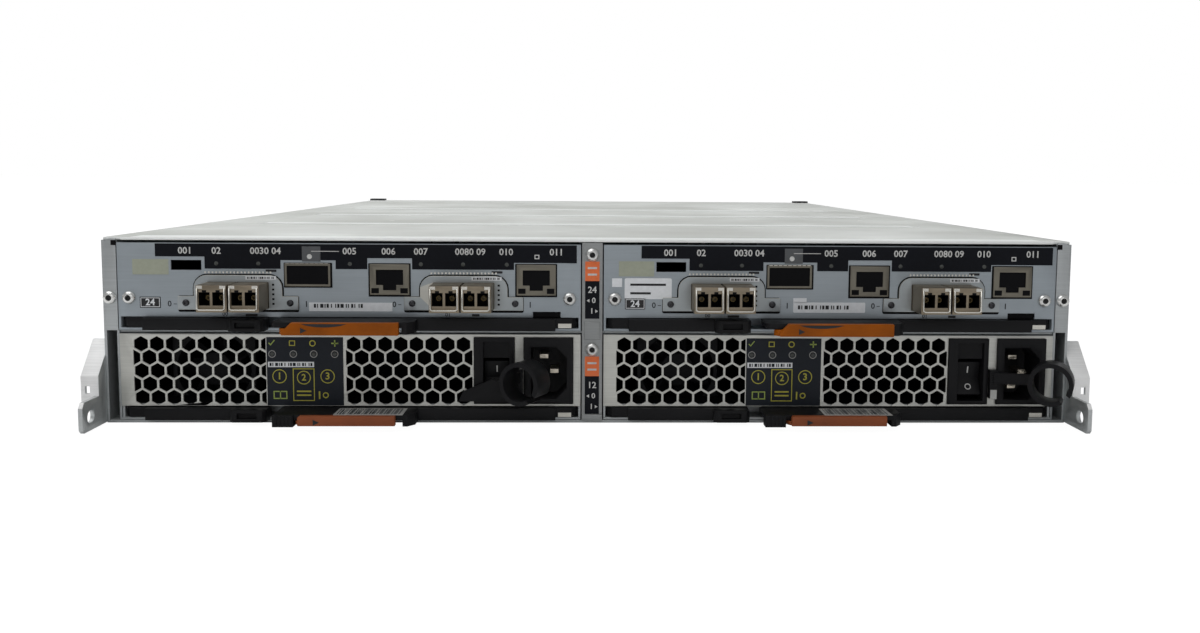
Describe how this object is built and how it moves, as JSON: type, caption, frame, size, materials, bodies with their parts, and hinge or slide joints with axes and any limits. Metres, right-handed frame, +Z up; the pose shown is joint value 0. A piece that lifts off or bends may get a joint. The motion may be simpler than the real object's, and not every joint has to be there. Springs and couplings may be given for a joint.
{
  "type": "disk shelf enclosure",
  "caption": "Two-unit rack disk shelf with plug-in controllers and power supplies at the rear and drive carriers at the front.",
  "frame": {"origin": "centre of the overall box at the underside of the pan", "axes": "+Z up, +Y towards the drive side (front), -Y towards the controllers and supplies (rear), +X to the right seen from the rear"},
  "size_m": [0.4826, 0.6875, 0.0871],
  "materials": {
    "zinc_sheet": "zinc-plated sheet",
    "cover_sheet": "satin zinc-plated sheet",
    "face_sheet": "satin zinc-plated sheet",
    "bracket_zinc": "zinc-plated sheet",
    "adapter_sheet": "satin nickel sheet",
    "ear_paint": "fine textured paint",
    "dark_plastic": "moulded, fine texture",
    "grey_plastic": "moulded, satin",
    "latch_orange": "moulded, satin",
    "latch_rust": "moulded, satin",
    "circuit_board": "solder resist",
    "port_shell": "nickel-plated",
    "transceiver_metal": "nickel-plated casting",
    "screw_metal": "bright zinc",
    "drive_metal": "cast drive in a dark carrier"
  },
  "bodies": {
    "chassis": {"chassis_shell": "zinc_sheet", "top_cover": "cover_sheet", "drive_cage": "zinc_sheet", "midplane_board": "circuit_board", "module_shelf": "zinc_sheet", "center_divider": "zinc_sheet", "rear_brackets": "bracket_zinc", "rack_ear_left": "ear_paint", "rack_ear_right": "ear_paint", "operation_panel": "dark_plastic", "chassis_screws": "screw_metal"},
    "power_button": {"power_button": "grey_plastic"},
    "drive_01": {"drive_01": "drive_metal"},
    "drive_02": {"drive_02": "drive_metal"},
    "drive_03": {"drive_03": "drive_metal"},
    "drive_04": {"drive_04": "drive_metal"},
    "drive_05": {"drive_05": "drive_metal"},
    "drive_06": {"drive_06": "drive_metal"},
    "drive_07": {"drive_07": "drive_metal"},
    "drive_08": {"drive_08": "drive_metal"},
    "drive_09": {"drive_09": "drive_metal"},
    "drive_10": {"drive_10": "drive_metal"},
    "drive_11": {"drive_11": "drive_metal"},
    "drive_12": {"drive_12": "drive_metal"},
    "controller_a": {"controller_a_tray": "face_sheet", "controller_a_board": "circuit_board", "controller_a_ports": "port_shell", "controller_a_adapters": "adapter_sheet", "controller_a_transceivers": "transceiver_metal", "controller_a_screws": "screw_metal"},
    "controller_a_lever_left": {"controller_a_lever_left": "dark_plastic"},
    "controller_a_lever_right": {"controller_a_lever_right": "dark_plastic"},
    "controller_a_latch": {"controller_a_latch": "latch_orange"},
    "supply_a_rocker": {"supply_a_rocker": "dark_plastic"},
    "supply_a_rotor": {"supply_a_rotor": "dark_plastic"},
    "supply_a": {"supply_a_case": "zinc_sheet", "supply_a_grille": "face_sheet", "supply_a_power_entry": "dark_plastic", "supply_a_cord_clamp": "dark_plastic"},
    "supply_a_lever_left": {"supply_a_lever_left": "dark_plastic"},
    "supply_a_lever_right": {"supply_a_lever_right": "dark_plastic"},
    "supply_a_latch": {"supply_a_latch": "latch_rust"},
    "controller_b": {"controller_b_tray": "face_sheet", "controller_b_board": "circuit_board", "controller_b_ports": "port_shell", "controller_b_adapters": "adapter_sheet", "controller_b_transceivers": "transceiver_metal", "controller_b_screws": "screw_metal"},
    "controller_b_lever_left": {"controller_b_lever_left": "dark_plastic"},
    "controller_b_lever_right": {"controller_b_lever_right": "dark_plastic"},
    "controller_b_latch": {"controller_b_latch": "latch_orange"},
    "supply_b_rocker": {"supply_b_rocker": "dark_plastic"},
    "supply_b_rotor": {"supply_b_rotor": "dark_plastic"},
    "supply_b": {"supply_b_case": "zinc_sheet", "supply_b_grille": "face_sheet", "supply_b_power_entry": "dark_plastic", "supply_b_cord_clamp": "dark_plastic"},
    "supply_b_lever_left": {"supply_b_lever_left": "dark_plastic"},
    "supply_b_lever_right": {"supply_b_lever_right": "dark_plastic"},
    "supply_b_latch": {"supply_b_latch": "latch_rust"}
  },
  "joints": [
    {"name": "power_button_press", "type": "slide", "parent": "chassis", "child": "power_button", "axis": [0, -1, 0], "range_m": [0, 0.0015], "stiffness_N_per_m": 400, "springref_m": -0.0005},
    {"name": "drive_01_slide", "type": "slide", "parent": "chassis", "child": "drive_01", "axis": [0, 1, 0], "range_m": [0, 0.195]},
    {"name": "drive_02_slide", "type": "slide", "parent": "chassis", "child": "drive_02", "axis": [0, 1, 0], "range_m": [0, 0.195]},
    {"name": "drive_03_slide", "type": "slide", "parent": "chassis", "child": "drive_03", "axis": [0, 1, 0], "range_m": [0, 0.195]},
    {"name": "drive_04_slide", "type": "slide", "parent": "chassis", "child": "drive_04", "axis": [0, 1, 0], "range_m": [0, 0.195]},
    {"name": "drive_05_slide", "type": "slide", "parent": "chassis", "child": "drive_05", "axis": [0, 1, 0], "range_m": [0, 0.195]},
    {"name": "drive_06_slide", "type": "slide", "parent": "chassis", "child": "drive_06", "axis": [0, 1, 0], "range_m": [0, 0.195]},
    {"name": "drive_07_slide", "type": "slide", "parent": "chassis", "child": "drive_07", "axis": [0, 1, 0], "range_m": [0, 0.195]},
    {"name": "drive_08_slide", "type": "slide", "parent": "chassis", "child": "drive_08", "axis": [0, 1, 0], "range_m": [0, 0.195]},
    {"name": "drive_09_slide", "type": "slide", "parent": "chassis", "child": "drive_09", "axis": [0, 1, 0], "range_m": [0, 0.195]},
    {"name": "drive_10_slide", "type": "slide", "parent": "chassis", "child": "drive_10", "axis": [0, 1, 0], "range_m": [0, 0.195]},
    {"name": "drive_11_slide", "type": "slide", "parent": "chassis", "child": "drive_11", "axis": [0, 1, 0], "range_m": [0, 0.195]},
    {"name": "drive_12_slide", "type": "slide", "parent": "chassis", "child": "drive_12", "axis": [0, 1, 0], "range_m": [0, 0.195]},
    {"name": "controller_a_slide", "type": "slide", "parent": "chassis", "child": "controller_a", "axis": [0, -1, 0], "range_m": [0, 0.45]},
    {"name": "controller_a_lever_left_swing", "type": "hinge", "parent": "controller_a", "child": "controller_a_lever_left", "pos_m": [-0.2096, -0.31345, 0.0462], "axis": [0, 0, -1], "range_deg": [0, 70]},
    {"name": "controller_a_lever_right_swing", "type": "hinge", "parent": "controller_a", "child": "controller_a_lever_right", "pos_m": [-0.0119, -0.31345, 0.0462], "axis": [0, 0, 1], "range_deg": [0, 70]},
    {"name": "controller_a_latch_slide", "type": "slide", "parent": "controller_a_lever_right", "child": "controller_a_latch", "axis": [1, 0, 0], "range_m": [0, 0.004], "stiffness_N_per_m": 500, "springref_m": -0.001},
    {"name": "supply_a_rocker_tilt", "type": "hinge", "parent": "supply_a", "child": "supply_a_rocker", "pos_m": [-0.0442, -0.31175, 0.0204], "axis": [1, 0, 0], "range_deg": [0, 16]},
    {"name": "supply_a_fan_spin", "type": "hinge", "parent": "supply_a", "child": "supply_a_rotor", "pos_m": [-0.1802, -0.28775, 0.02145], "axis": [0, 1, 0], "continuous": true},
    {"name": "supply_a_slide", "type": "slide", "parent": "chassis", "child": "supply_a", "axis": [0, -1, 0], "range_m": [0, 0.45]},
    {"name": "supply_a_lever_left_swing", "type": "hinge", "parent": "supply_a", "child": "supply_a_lever_left", "pos_m": [-0.2096, -0.31345, 0.0045], "axis": [0, 0, -1], "range_deg": [0, 70]},
    {"name": "supply_a_lever_right_swing", "type": "hinge", "parent": "supply_a", "child": "supply_a_lever_right", "pos_m": [-0.0119, -0.31345, 0.0045], "axis": [0, 0, 1], "range_deg": [0, 70]},
    {"name": "supply_a_latch_slide", "type": "slide", "parent": "supply_a_lever_right", "child": "supply_a_latch", "axis": [1, 0, 0], "range_m": [0, 0.004], "stiffness_N_per_m": 500, "springref_m": -0.001},
    {"name": "controller_b_slide", "type": "slide", "parent": "chassis", "child": "controller_b", "axis": [0, -1, 0], "range_m": [0, 0.45]},
    {"name": "controller_b_lever_left_swing", "type": "hinge", "parent": "controller_b", "child": "controller_b_lever_left", "pos_m": [0.0119, -0.31345, 0.0462], "axis": [0, 0, -1], "range_deg": [0, 70]},
    {"name": "controller_b_lever_right_swing", "type": "hinge", "parent": "controller_b", "child": "controller_b_lever_right", "pos_m": [0.2096, -0.31345, 0.0462], "axis": [0, 0, 1], "range_deg": [0, 70]},
    {"name": "controller_b_latch_slide", "type": "slide", "parent": "controller_b_lever_right", "child": "controller_b_latch", "axis": [1, 0, 0], "range_m": [0, 0.004], "stiffness_N_per_m": 500, "springref_m": -0.001},
    {"name": "supply_b_rocker_tilt", "type": "hinge", "parent": "supply_b", "child": "supply_b_rocker", "pos_m": [0.1773, -0.31175, 0.0204], "axis": [1, 0, 0], "range_deg": [0, 16]},
    {"name": "supply_b_fan_spin", "type": "hinge", "parent": "supply_b", "child": "supply_b_rotor", "pos_m": [0.0413, -0.28775, 0.02145], "axis": [0, 1, 0], "continuous": true},
    {"name": "supply_b_slide", "type": "slide", "parent": "chassis", "child": "supply_b", "axis": [0, -1, 0], "range_m": [0, 0.45]},
    {"name": "supply_b_lever_left_swing", "type": "hinge", "parent": "supply_b", "child": "supply_b_lever_left", "pos_m": [0.0119, -0.31345, 0.0045], "axis": [0, 0, -1], "range_deg": [0, 70]},
    {"name": "supply_b_lever_right_swing", "type": "hinge", "parent": "supply_b", "child": "supply_b_lever_right", "pos_m": [0.2096, -0.31345, 0.0045], "axis": [0, 0, 1], "range_deg": [0, 70]},
    {"name": "supply_b_latch_slide", "type": "slide", "parent": "supply_b_lever_right", "child": "supply_b_latch", "axis": [1, 0, 0], "range_m": [0, 0.004], "stiffness_N_per_m": 500, "springref_m": -0.001}
  ]
}
